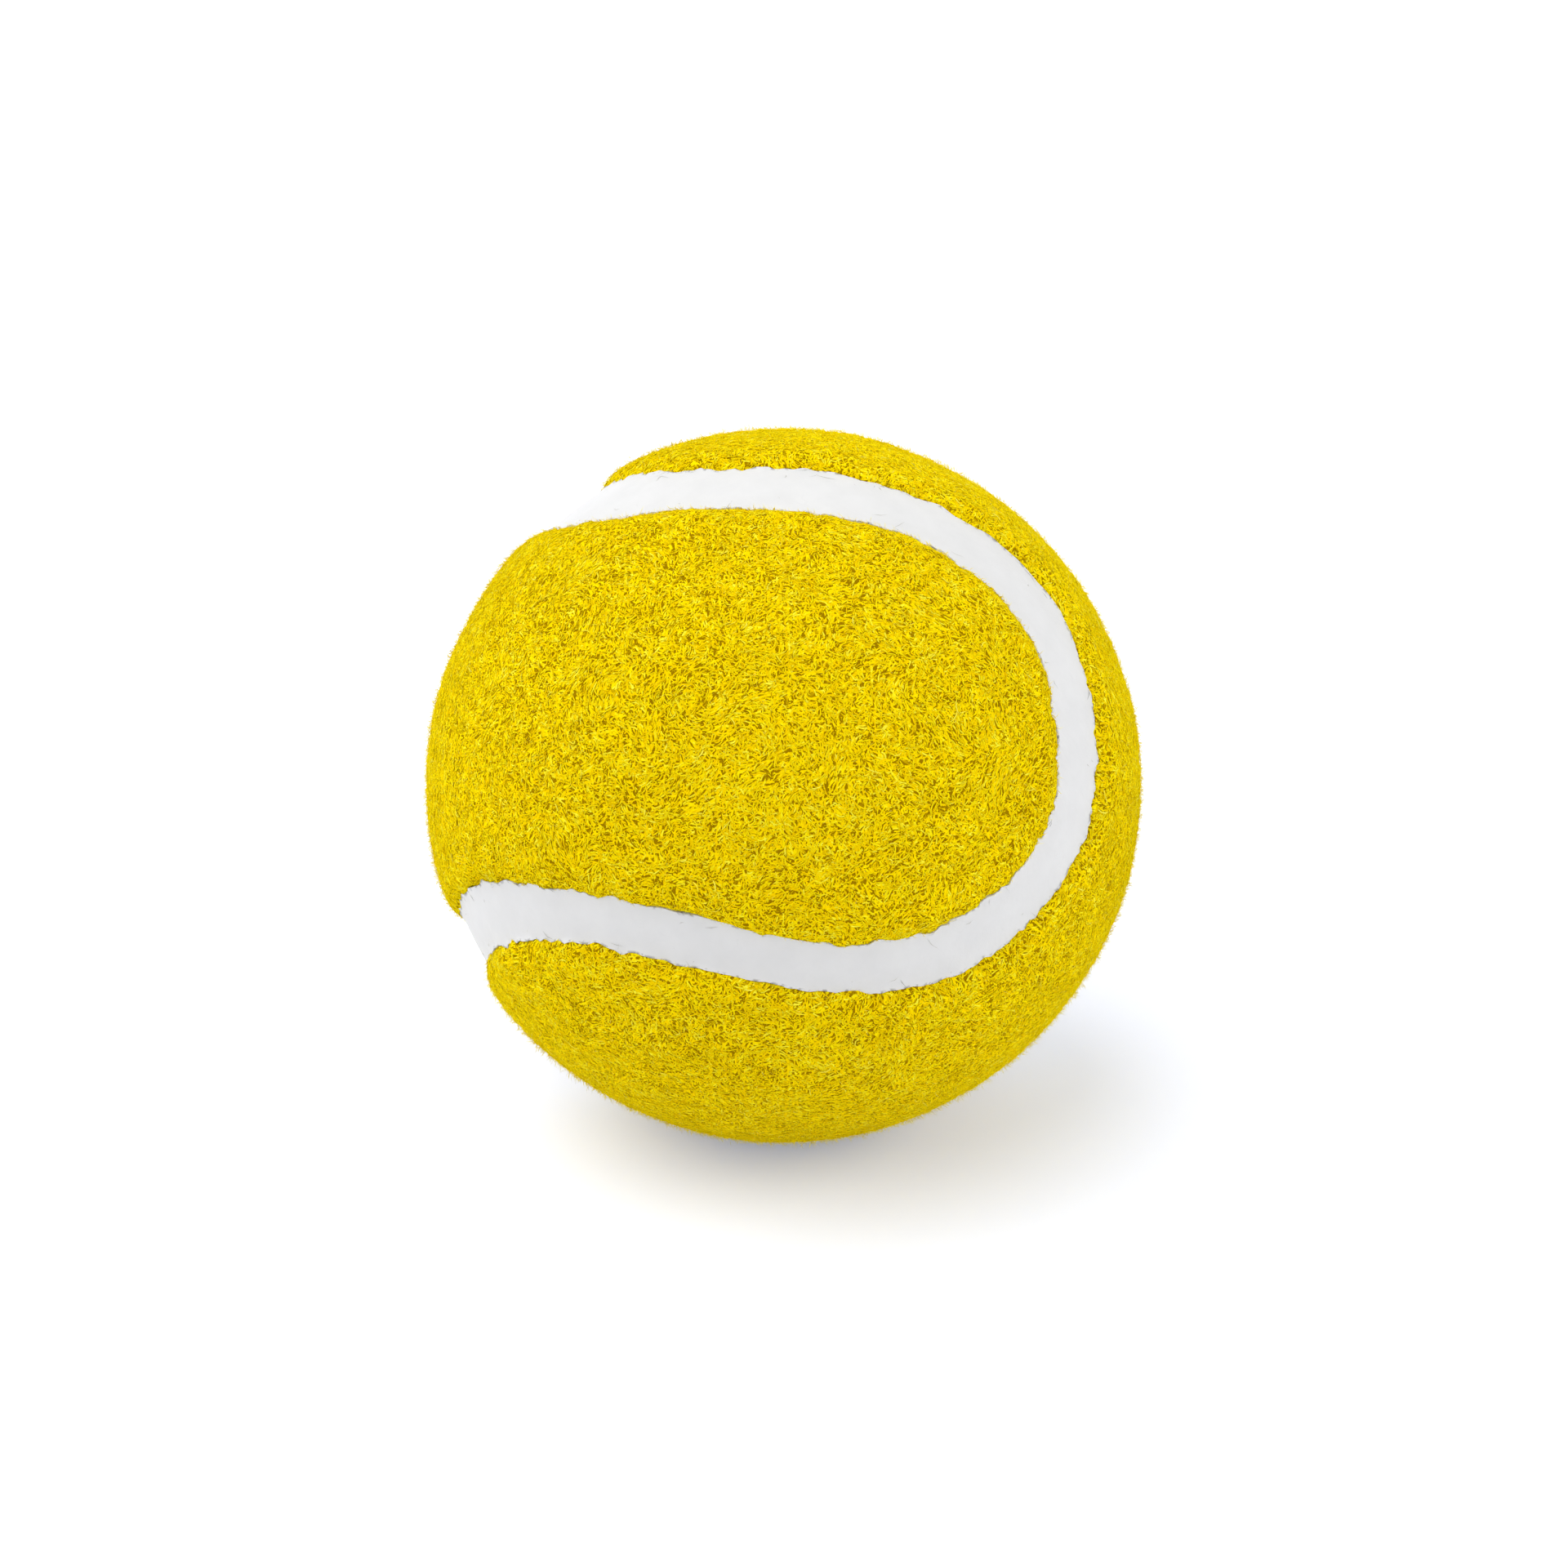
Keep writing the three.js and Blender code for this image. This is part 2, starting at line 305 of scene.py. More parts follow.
def spine(side):
    """The points of a panel's spine, and for each step along the seam the point where its row ends."""
    steps = np.arange(PANEL_STEPS)
    mirror = int(2 * LOBE_TIPS[side] * PANEL_STEPS)
    shared = np.minimum(steps, (mirror - steps) % PANEL_STEPS)
    ends, which = np.unique(shared, return_inverse=True)
    waist = np.array([0, 0, side])
    lobe = np.array([1, -side, 0]) / math.sqrt(2)

    def reach_beside(turn):
        beside = seam_line(turn)
        return np.arctan2(beside @ lobe, beside @ waist)

    share = reach_beside(turns[ends]) / reach_beside(np.array(2 * math.pi * LOBE_TIPS[side]))
    reach = np.radians(SPINE_REACH) * np.sin(share * math.pi / 2)
    return waist * np.cos(reach)[:, None] + lobe * np.sin(reach)[:, None], which


def part_way(start, end, share):
    """Part of the way over the ball from one direction to another."""
    angle = np.arccos(np.clip((start * end).sum(axis=1, keepdims=True), -1, 1))
    return (start * np.sin((1 - share) * angle) + end * np.sin(share * angle)) / np.sin(angle)


def laid_mesh(name, places, edges, faces, **numbers):
    """A mesh turned to how the cover lies on the ball, with named numbers at its points."""
    mesh = bpy.data.meshes.new(name)
    mesh.from_pydata(places @ cover_lie.T, edges, faces)
    for number, values in numbers.items():
        mesh.attributes.new(number, "FLOAT", "POINT").data.foreach_set("value", values)
    mesh.shade_smooth()
    return mesh


def panel_mesh(name, side, edge):
    """A panel before it is needled: rows of points from its spine underneath, round its edge, to its
    spine on top. The nap is 0 where no pile grows and 1 on top."""
    spine_points, which = spine(side)
    spine_ends = spine_points[which]
    at_edge = beside_seam(turns, side, edge)
    shoulder = beside_seam(turns, side, edge + SHOULDER_WIDTH)
    top_radius = ball_radius + LOFT
    rows = []
    for row in range(1, UNDERSIDE_ROWS):
        rows.append((part_way(spine_ends, at_edge, row / UNDERSIDE_ROWS) * felt_underside, 0.0))
    rows.append((at_edge * felt_underside, 0.0))
    rows.append((at_edge * seam_radius, WALL_NAP))
    for row in range(SHOULDER_ROWS):
        share = row / SHOULDER_ROWS
        radius = top_radius - SHOULDER_DROP * (1 - share) ** 2
        place = beside_seam(turns, side, edge + SHOULDER_WIDTH * share) * radius
        rows.append((place, max(share, WALL_NAP)))
    for row in range(TOP_ROWS):
        rows.append((part_way(shoulder, spine_ends, row / TOP_ROWS) * top_radius, 1.0))

    count = len(rows) * PANEL_STEPS
    under_spine = count + which
    top_spine = under_spine + len(spine_points)
    here = np.vstack([under_spine, np.arange(count).reshape(len(rows), PANEL_STEPS), top_spine])
    ahead = np.roll(here, -1, axis=1)
    faces = np.stack([here[:-1], ahead[:-1], ahead[1:], here[1:]], axis=-1).reshape(-1, 4)
    if side < 0:
        faces = faces[:, ::-1]
    places = [place for place, _ in rows]
    places += [spine_points * felt_underside, spine_points * top_radius]
    nap = [np.full(PANEL_STEPS, share) for _, share in rows]
    nap += [np.zeros(len(spine_points)), np.ones(len(spine_points))]
    return laid_mesh(name, np.vstack(places), [], faces.tolist(), nap=np.concatenate(nap))


def new_tree(name, sizes):
    """A tree of geometry nodes with named inputs, and what they give."""
    tree = bpy.data.node_groups.new(name, "GeometryNodeTree")
    tree.interface.new_socket(name="Geometry", in_out="INPUT", socket_type="NodeSocketGeometry")
    tree.interface.new_socket(name="Geometry", in_out="OUTPUT", socket_type="NodeSocketGeometry")
    for size, kind in sizes.items():
        tree.interface.new_socket(name=size, in_out="INPUT", socket_type="NodeSocket" + kind)
    return tree, add(tree, "NodeGroupInput").outputs


def finished(tree, geometry, material):
    """Ends a tree: what repeats becomes real, and takes its material."""
    real = add(tree, "GeometryNodeRealizeInstances", {"Geometry": geometry}).outputs[0]
    dressed = add(tree, "GeometryNodeSetMaterial", {"Geometry": real, "Material": material}).outputs[0]
    add(tree, "NodeGroupOutput", {"Geometry": dressed})
    return tree


def new_object(name, data):
    made = bpy.data.objects.new(name, data)
    bpy.context.scene.collection.objects.link(made)
    return made


def made_by(tree, name, mesh, sizes):
    """A piece that a tree makes from a mesh, as a plain mesh of its own."""
    piece = new_object(name, mesh)
    modifier = piece.modifiers.new(tree.name, "NODES")
    modifier.node_group = tree
    for socket in tree.interface.items_tree:
        if socket.in_out == "INPUT" and socket.name in sizes:
            modifier[socket.identifier] = sizes[socket.name]
    evaluated = piece.evaluated_get(bpy.context.evaluated_depsgraph_get())
    grown = bpy.data.meshes.new_from_object(evaluated)
    piece.modifiers.clear()
    piece.data = grown
    grown.name = name
    return piece


def vectors(tree, operation, *given):
    made = add(tree, "ShaderNodeVectorMath", dict(enumerate(given)), operation=operation)
    return made.outputs["Value" if operation == "LENGTH" else "Vector"]


def scaled(tree, vector, number):
    return add(tree, "ShaderNodeVectorMath", {0: vector, "Scale": number}, operation="SCALE").outputs[0]


def centred(tree, colour):
    """A noise's colour as a vector about zero."""
    return vectors(tree, "SUBTRACT", colour, (0.5, 0.5, 0.5))


def named(tree, name):
    """The number of this name at each point of a geometry."""
    return add(tree, "GeometryNodeInputNamedAttribute", {"Name": name}, data_type="FLOAT").outputs[0]


def place_of_point(tree):
    return add(tree, "GeometryNodeInputPosition").outputs[0]


def moved_to(tree, geometry, place):
    return add(tree, "GeometryNodeSetPosition", {"Geometry": geometry, "Position": place}).outputs[0]


def on_floor(tree, geometry, floor):
    """Keeps every point on or above the floor that the ball presses its felt against."""
    place = add(tree, "ShaderNodeSeparateXYZ", {0: place_of_point(tree)}).outputs
    height = maths(tree, "MAXIMUM", place["Z"], floor)
    kept = add(tree, "ShaderNodeCombineXYZ", {"X": place["X"], "Y": place["Y"], "Z": height}).outputs[0]
    return moved_to(tree, geometry, kept)


def stored(tree, geometry, name, value, kind="FLOAT"):
    given = {"Geometry": geometry, "Name": name, "Value": value}
    settings = {"data_type": kind, "domain": "POINT"}
    return add(tree, "GeometryNodeStoreNamedAttribute", given, **settings).outputs[0]


def needling_tree():
    """Pushes a smooth panel into clumps, pits and lumps along its normals, and rests it on the floor."""
    sizes = {
        "Clump size": "Float",
        "Clump height": "Float",
        "Lump size": "Float",
        "Lump height": "Float",
        "Floor": "Float",
        "Seed": "Float",
        "Material": "Material",
    }
    tree, given = new_tree("needling", sizes)
    place = place_of_point(tree)
    height = 0.0
    crests = {}
    for kind, detail in NEEDLED_DETAIL.items():
        noise = {
            "Vector": place,
            "W": given["Seed"],
            "Scale": maths(tree, "DIVIDE", 1.0, given[f"{kind} size"]),
            "Detail": detail,
            "Roughness": NEEDLED_FALLOFF,
        }
        crests[kind] = add(tree, "ShaderNodeTexNoise", noise, noise_dimensions="4D").outputs["Fac"]
        up_and_down = maths(tree, "MULTIPLY", given[f"{kind} height"], 2.0)
        middle = maths(tree, "SUBTRACT", crests[kind], 0.5)
        height = maths(tree, "MULTIPLY_ADD", middle, up_and_down, height)
    normal = add(tree, "GeometryNodeInputNormal").outputs[0]
    push = scaled(tree, normal, maths(tree, "MULTIPLY", height, named(tree, "nap")))
    pushed = moved_to(tree, given["Geometry"], vectors(tree, "ADD", place, push))
    resting = on_floor(tree, pushed, given["Floor"])
    return finished(tree, stored(tree, resting, "crest", crests["Clump"]), given["Material"])


def held(tree, name):
    """The number of this name that a mesh holds, for a material."""
    return add(tree, "ShaderNodeAttribute", attribute_name=name).outputs["Fac"]


def wander(tree, size):
    """A noise in all three directions that bends over this size."""
    given = {"Vector": place_on_piece(tree), "Scale": 1 / size, "Detail": 1.0}
    return centred(tree, add(tree, "ShaderNodeTexNoise", given).outputs["Color"])


def beside_line(tree, vector, line):
    """What is left of a vector without its part along a line."""
    return vectors(tree, "SUBTRACT", vector, vectors(tree, "PROJECT", vector, line))


def strand_layer(tree, place, sweep, size, below):
    """One short strand in each cell of this size, lying in the surface, over what is below it. It leans
    its own way and partly with the sweep, and has its own shade from 0 to 1."""
    out = vectors(tree, "NORMALIZE", place)
    moved = vectors(tree, "ADD", place, (size, size, size))
    cell = add(tree, "ShaderNodeTexVoronoi", {"Vector": moved, "Scale": 1 / size}).outputs
    lean = beside_line(tree, vectors(tree, "ADD", centred(tree, cell["Color"]), sweep), out)
    off = beside_line(tree, vectors(tree, "SUBTRACT", moved, cell["Position"]), out)
    beside = vectors(tree, "LENGTH", beside_line(tree, off, lean))
    fade, end = STRAND_FADE
    on_strand = maths(tree, "SUBTRACT", 1.0, within(tree, beside, STRAND_WIDTH * fade, STRAND_WIDTH * end))
    shade = add(tree, "ShaderNodeSeparateXYZ", {0: cell["Color"]}).outputs["X"]
    return maths(tree, "MULTIPLY_ADD", maths(tree, "SUBTRACT", shade, below), on_strand, below)


def give_sheen(shader, weight):
    """The soft glow of standing fibres at a slant."""
    shader.inputs["Sheen Weight"].default_value = weight
    shader.inputs["Sheen Roughness"].default_value = SHEEN_SPREAD
    shader.inputs["Sheen Tint"].default_value = FELT_SHEEN


def felt():
    """The body of the felt: short strands over each other, bright and dull, with painted shade in the gaps
    between them and in the clumps' pits, and painted glints.
    """
    material, tree, shader = surface("needled felt", FELT_ROUGHNESS, shine=0.0)
    bend_size, bend_reach = STRAND_CURL
    bends = scaled(tree, wander(tree, bend_size), bend_reach)
    place = vectors(tree, "ADD", place_on_piece(tree), bends)
    sweep = scaled(tree, wander(tree, SWEEP_SIZE), SWEEP_STRENGTH)
    strands = 0.0
    for size in STRAND_CELLS:
        strands = strand_layer(tree, place, sweep, size, strands)
    # Painted shade: darker in the clumps' pits, lighter on their crests.
    crest = maths(tree, "SUBTRACT", within(tree, held(tree, "crest"), *CREST_RANGE), 0.5)
    share = maths(tree, "MULTIPLY_ADD", crest, PIT_SHADE_SHARE, strands)
    # Painted shade in the gaps between strands, and painted glints on the palest strands.
    tree.links.new(shades(tree, share, FELT_SHADES), shader.inputs["Base Color"])
    tree.links.new(relief(tree, strands, STRAND_DEPTH), shader.inputs["Normal"])
    give_sheen(shader, 1.0)
    return material


needled_felt = felt()
needling = needling_tree()


def felt_panel(side_name, side, edge, seed):
    """One panel, cut, laid and needled."""
    sizes = {
        "Clump size": CLUMPS[0],
        "Clump height": CLUMPS[1],
        "Lump size": LUMPS[0],
        "Lump height": LUMPS[1],
        "Floor": floor_height,
        "Seed": seed,
        "Material": needled_felt,
    }
    name = "needled_panel_" + side_name
    panel = made_by(needling, name, panel_mesh(name, side, edge), sizes)
    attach(panel, "root")
    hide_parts("felt_panel_" + side_name)
    return panel


front_panel = felt_panel("front", 1, front_edge, seed=1.0)
back_panel = felt_panel("back", -1, back_edge, seed=2.0)


# The pile: loose ends and loops of the needled fibres. Flat bundles of them, about a seventh of a
# millimetre wide, lie curled in the surface. Single fibres stand up and make the fuzz round the ball.
FIBRE_SIDES = 3
STRANDS = {
    "Fibres": 12600,
    "Points": 4,
    "Shortest": 0.0006,
    "Longest": 0.0015,
    "Least bend": math.radians(10),
    "Most bend": math.radians(110),
    "Lowest tilt": math.radians(-2),
    "Highest tilt": math.radians(5),
    "Lift": 0.00006,
    "Sink": 0.00001,
    "Crimp": 0.00005,
    "Thickness": 0.00015,
    "Flatness": 0.28,
}
CURLS = STRANDS | {
    "Fibres": 9000,
    "Points": 5,
    "Shortest": 0.0008,
    "Longest": 0.002,
    "Least bend": math.radians(30),
    "Most bend": math.radians(170),
    "Highest tilt": math.radians(6),
    "Lift": 0.0001,
    "Crimp": 0.00006,
    "Thickness": 0.00013,
    "Flatness": 0.36,
}
FUZZ = {
    "Fibres": 32400,
    "Points": 3,
    "Shortest": 0.0003,
    "Longest": 0.001,
    "Least bend": math.radians(10),
    "Most bend": math.radians(80),
    "Lowest tilt": math.radians(15),
    "Highest tilt": math.radians(65),
    "Lift": 0.0001,
    "Sink": 0.0,
    "Crimp": 0.00014,
    "Thickness": 0.000042,
    "Flatness": 1.0,
}
SHORTNESS = 2.0  # the power that makes most fibres short
GIRTHS = (0.55, 1.3)  # least and greatest thickness, against the one given
STRAY = math.radians(75)  # how far a fibre may turn from the sweep of the felt
SWEEP_TURN = 4 * math.pi  # how far the sweep turns over the whole range of its noise
KINK_SCALE = 900.0  # kinks to the metre
KINK_SEEDS = 1000.0  # the range of noise from which each fibre takes kinks of its own
TIP = 0.99  # a fibre comes to a point beyond this, from 0 in its middle to 1 at its ends
TIP_MERGE = 1e-7
LEAST_NAP = 0.03  # no fibres grow where the nap is less
OVERHANG = 0.00012  # how far fibres lie over the seam
OVERHANG_SHARES = (-0.5, 1.0)  # least and greatest share of the overhang that a fibre takes
FRINGE = 0.00018  # how much the line they reach wanders
FRINGE_SCALE = 1800.0  # bends in that line to the metre
NOISE_SPREAD = 4.0  # noise keeps within a quarter of its middle, and this brings it to -1 and 1
DYE_TINT = 0.7  # how much a fibre's dye counts in its colour; the next two weigh painted shade, darker in the clumps' pits and low in the felt
PIT_SHADE_TINT = 0.08
DEPTH_SHADE_TINT = 0.2
FIBRE_ROUGHNESS = 0.7
# Pile fibres, from dark ones, partly dye and partly painted shade in the pits and low in the felt, to the
# palest, a painted glint.
STRAND_SHADES = (
    (0.06, (0.42, 0.25, 0.0002, 1)),
    (0.2, (0.97, 0.66, 0.0005, 1)),
    (0.5, (1.0, 0.75, 0.001, 1)),
    (0.84, (1.0, 0.84, 0.006, 1)),
    (0.97, (1.0, 0.94, 0.12, 1)),
)
# Loose fibres, painted paler up towards their tips as a painted highlight; the palest shade is a painted
# glint.
FUZZ_SHADES = (
    (0.1, (1.0, 0.78, 0.001, 1)),
    (0.78, (1.0, 0.86, 0.006, 1)),
    (0.97, (1.0, 0.94, 0.2, 1)),
)


def rooted(tree, given):
    """Strews points over the nap, one for the root of each fibre, with the traits of that fibre."""

    def drawn(low, high, salt):
        seed = maths(tree, "ADD", given["Seed"], salt)
        return add(tree, "FunctionNodeRandomValue", {2: low, 3: high, "Seed": seed}).outputs[1]

    strewn = {
        "Mesh": given["Geometry"],
        "Selection": maths(tree, "GREATER_THAN", named(tree, "nap"), LEAST_NAP),
        "Density": given["Fibres per square metre"],
        "Seed": given["Seed"],
    }
    roots = add(tree, "GeometryNodeDistributePointsOnFaces", strewn).outputs
    noise = {"Vector": place_of_point(tree), "Scale": 1 / SWEEP_SIZE, "Detail": 1.0}
    sweep = add(tree, "ShaderNodeTexNoise", noise).outputs["Fac"]
    heading = maths(tree, "MULTIPLY_ADD", sweep, SWEEP_TURN, drawn(-STRAY, STRAY, 100))
    spin = add(tree, "FunctionNodeAxisAngleToRotation", {"Axis": (0, 0, 1), "Angle": heading}).outputs[0]
    turned = {"Rotation": roots["Rotation"], "Rotate By": spin}
    lie = add(tree, "FunctionNodeRotateRotation", turned, rotation_space="LOCAL").outputs[0]
    spread = maths(tree, "SUBTRACT", given["Longest"], given["Shortest"])
    skewed = maths(tree, "POWER", drawn(0.0, 1.0, 200), SHORTNESS)
    traits = {
        "root": ("VECTOR", place_of_point(tree)),
        "number": ("INT", add(tree, "GeometryNodeInputIndex").outputs[0]),
        "crest": ("FLOAT", named(tree, "crest")),
        "length": ("FLOAT", maths(tree, "MULTIPLY_ADD", skewed, spread, given["Shortest"])),
        "bend": ("FLOAT", drawn(given["Least bend"], given["Most bend"], 300)),
        "tilt": ("FLOAT", drawn(given["Lowest tilt"], given["Highest tilt"], 400)),
        "lift": ("FLOAT", drawn(0.0, given["Lift"], 500)),
        "crimp": ("FLOAT", drawn(0.0, KINK_SEEDS, 600)),
        "reach": ("FLOAT", drawn(*OVERHANG_SHARES, 700)),
        "dye": ("FLOAT", drawn(0.0, 1.0, 800)),
        "girth": ("FLOAT", drawn(*GIRTHS, 900)),
    }
    for name, axis in (("along", (1, 0, 0)), ("across", (0, 1, 0)), ("up", (0, 0, 1))):
        turned = add(tree, "FunctionNodeRotateVector", {"Vector": axis, "Rotation": lie}).outputs[0]
        traits[name] = ("VECTOR", turned)
    captured = add(tree, "GeometryNodeCaptureAttribute", {"Geometry": roots["Points"]}, domain="POINT")
    for name, (kind, value) in traits.items():
        captured.capture_items.new(kind, name)
        tree.links.new(value, captured.inputs[name])
    return captured.outputs


def straight_fibres(tree, points, roots):
    """A straight curve with this many points at each root. Its length doesn't count: it is bent later."""
    line = add(tree, "GeometryNodeCurvePrimitiveLine", {"End": (0.001, 0, 0)}).outputs[0]
    line = add(tree, "GeometryNodeResampleCurve", {"Curve": line, "Count": points}).outputs[0]
    fibres = add(tree, "GeometryNodeInstanceOnPoints", {"Points": roots, "Instance": line}).outputs[0]
    return add(tree, "GeometryNodeRealizeInstances", {"Geometry": fibres}).outputs[0]


def arc(tree, given, trait, step):
    """The place of each point of a fibre, its height over the felt, and how far it is from the fibre's
    middle, from 0 to 1."""
    last = maths(tree, "SUBTRACT", given["Points"], 1.0)
    way = maths(tree, "SUBTRACT", maths(tree, "DIVIDE", step, last), 0.5)
    angle = maths(tree, "MULTIPLY", way, trait["bend"])
    radius = maths(tree, "DIVIDE", trait["length"], trait["bend"])
    forward = maths(tree, "MULTIPLY", radius, maths(tree, "SINE", angle))
    forward = maths(tree, "MULTIPLY", forward, maths(tree, "COSINE", trait["tilt"]))
    sideways = maths(tree, "MULTIPLY", radius, maths(tree, "SUBTRACT", 1.0, maths(tree, "COSINE", angle)))
    from_middle = maths(tree, "MULTIPLY", maths(tree, "POWER", maths(tree, "ABSOLUTE", way), 2.0), 4.0)
    arch = maths(tree, "MULTIPLY", trait["lift"], maths(tree, "SUBTRACT", 1.0, from_middle))
    climb = maths(tree, "MULTIPLY", maths(tree, "ADD", way, 0.5), trait["length"])
    height = maths(tree, "MULTIPLY_ADD", climb, maths(tree, "SINE", trait["tilt"]), arch)
    height = maths(tree, "SUBTRACT", height, given["Sink"])
    place = trait["root"]
    for direction, distance in (("along", forward), ("across", sideways), ("up", height)):
        place = vectors(tree, "ADD", place, scaled(tree, trait[direction], distance))
    noise = {"Vector": place, "W": trait["crimp"], "Scale": KINK_SCALE, "Detail": 1.0}
    kinks = add(tree, "ShaderNodeTexNoise", noise, noise_dimensions="4D").outputs["Color"]
    kinks = scaled(tree, centred(tree, kinks), maths(tree, "MULTIPLY", given["Crimp"], 2.0))
    return vectors(tree, "ADD", place, kinks), height, from_middle


def off_seam(tree, given, trait, place):
    """Pushes a point back from the seam, to a line that wanders beside the panel's cut edge."""
    line = add(tree, "GeometryNodeObjectInfo", {"Object": given["Seam line"]}).outputs["Geometry"]
    beneath = scaled(tree, vectors(tree, "NORMALIZE", place), given["Ball radius"])
    sought = {0: line, "Sample Position": beneath}
    nearest = add(tree, "GeometryNodeProximity", sought, target_element="EDGES").outputs
    index = add(tree, "GeometryNodeSampleNearest", sought).outputs[0]
    read = {"Geometry": line, "Value": named(tree, "edge"), "Index": index}
    edge = add(tree, "GeometryNodeSampleIndex", read).outputs[0]
    limit = maths(tree, "SUBTRACT", edge, maths(tree, "MULTIPLY", trait["reach"], given["Overhang"]))
    noise = {"Vector": beneath, "Scale": FRINGE_SCALE, "Detail": 1.0}
    ragged = maths(tree, "SUBTRACT", add(tree, "ShaderNodeTexNoise", noise).outputs["Fac"], 0.5)
    ragged = maths(tree, "MULTIPLY", ragged, NOISE_SPREAD)
    limit = maths(tree, "MULTIPLY_ADD", ragged, given["Fringe"], limit)
    back = maths(tree, "MAXIMUM", maths(tree, "SUBTRACT", limit, nearest["Distance"]), 0.0)
    away = vectors(tree, "NORMALIZE", vectors(tree, "SUBTRACT", beneath, nearest["Position"]))
    return vectors(tree, "ADD", place, scaled(tree, away, back))


def tubes_along(tree, fibres, given, trait, from_middle):
    """Gives curves a flat section that ends in a point at both ends."""
    tangent = add(tree, "GeometryNodeInputTangent").outputs[0]
    upright = vectors(tree, "NORMALIZE", beside_line(tree, trait["up"], tangent))
    facing = {"Curve": fibres, "Normal": upright}
    fibres = add(tree, "GeometryNodeSetCurveNormal", facing, mode="FREE").outputs[0]
    circle = {"Resolution": FIBRE_SIDES, "Radius": 0.5}
    section = add(tree, "GeometryNodeCurvePrimitiveCircle", circle).outputs[0]
    squash = add(tree, "ShaderNodeCombineXYZ", {"X": given["Flatness"], "Y": 1.0, "Z": 1.0}).outputs[0]
    section = add(tree, "GeometryNodeTransform", {"Geometry": section, "Scale": squash}).outputs[0]
    section = stored(tree, section, "side", add(tree, "GeometryNodeInputIndex").outputs[0], "INT")
    width = maths(tree, "MULTIPLY", given["Thickness"], trait["girth"])
    width = maths(tree, "MULTIPLY", width, maths(tree, "LESS_THAN", from_middle, TIP))
    swept = {"Curve": fibres, "Profile Curve": section, "Scale": width}
    tubes = add(tree, "GeometryNodeCurveToMesh", swept).outputs[0]
    tubes = add(tree, "GeometryNodeMergeByDistance", {"Geometry": tubes, "Distance": TIP_MERGE}).outputs[0]
    return add(tree, "GeometryNodeSetShadeSmooth", {"Geometry": tubes}).outputs[0]


def pile_tree():
    """Strews fibres over a panel's nap. Each is an arc that rises from the felt and dips back into it,
    or stands up from it, and it is pushed back where it would lie over the seam."""
    numbers = [size for size in STRANDS if size != "Fibres"]
    numbers += ["Fibres per square metre", "Overhang", "Fringe", "Ball radius", "Floor"]
    others = {"Points": "Int", "Seed": "Int", "Seam line": "Object", "Material": "Material"}
    tree, given = new_tree("pile", dict.fromkeys(numbers, "Float") | others)
    trait = rooted(tree, given)
    fibres = straight_fibres(tree, given["Points"], trait["Geometry"])
    step = add(tree, "GeometryNodeSplineParameter").outputs["Index"]
    place, height, from_middle = arc(tree, given, trait, step)
    fibres = moved_to(tree, fibres, off_seam(tree, given, trait, place))
    fibres = on_floor(tree, fibres, given["Floor"])
    # Painted shade: a fibre is made darker in the clumps' pits and low in the felt, over its own dye.
    crest = within(tree, trait["crest"], *CREST_RANGE)
    risen = within(tree, height, 0.0, given["Lift"])
    tint = maths(tree, "MULTIPLY_ADD", trait["dye"], DYE_TINT, maths(tree, "MULTIPLY", crest, PIT_SHADE_TINT))
    tint = maths(tree, "MULTIPLY_ADD", risen, DEPTH_SHADE_TINT, tint)
    fibres = stored(tree, fibres, "tint", tint)
    fibres = stored(tree, fibres, "number", trait["number"], "INT")
    fibres = stored(tree, fibres, "step", step, "INT")
    return finished(tree, tubes_along(tree, fibres, given, trait, from_middle), given["Material"])


def fibre(name, stops, sheen=1.0):
    """Dyed fibre: each takes the dye a little differently, with painted shade that makes it darker down in
    the felt and in the clumps' pits, and painted glints in its palest shades.
    """
    material, tree, shader = surface(name, FIBRE_ROUGHNESS, shine=0.0)
    # The shades hold painted shade and painted glints besides the dye.
    tree.links.new(shades(tree, held(tree, "tint"), stops), shader.inputs["Base Color"])
    give_sheen(shader, sheen)
    return material


def seam_line_object(name, edge):
    """The middle of the seam as a line of points, with the distance from each to a panel's cut edge."""
    steps = np.arange(PANEL_STEPS)
    links = np.stack([steps, np.roll(steps, -1)], axis=1).tolist()
    distances = edge * ball_radius / seam_radius
    return new_object(name, laid_mesh(name, seam_line(turns) * ball_radius, links, [], edge=distances))


def values_of(mesh, name, kind):
    """A number that a mesh holds at each of its points."""
    values = np.zeros(len(mesh.vertices), kind)
    mesh.attributes[name].data.foreach_get("value", values)
    return values


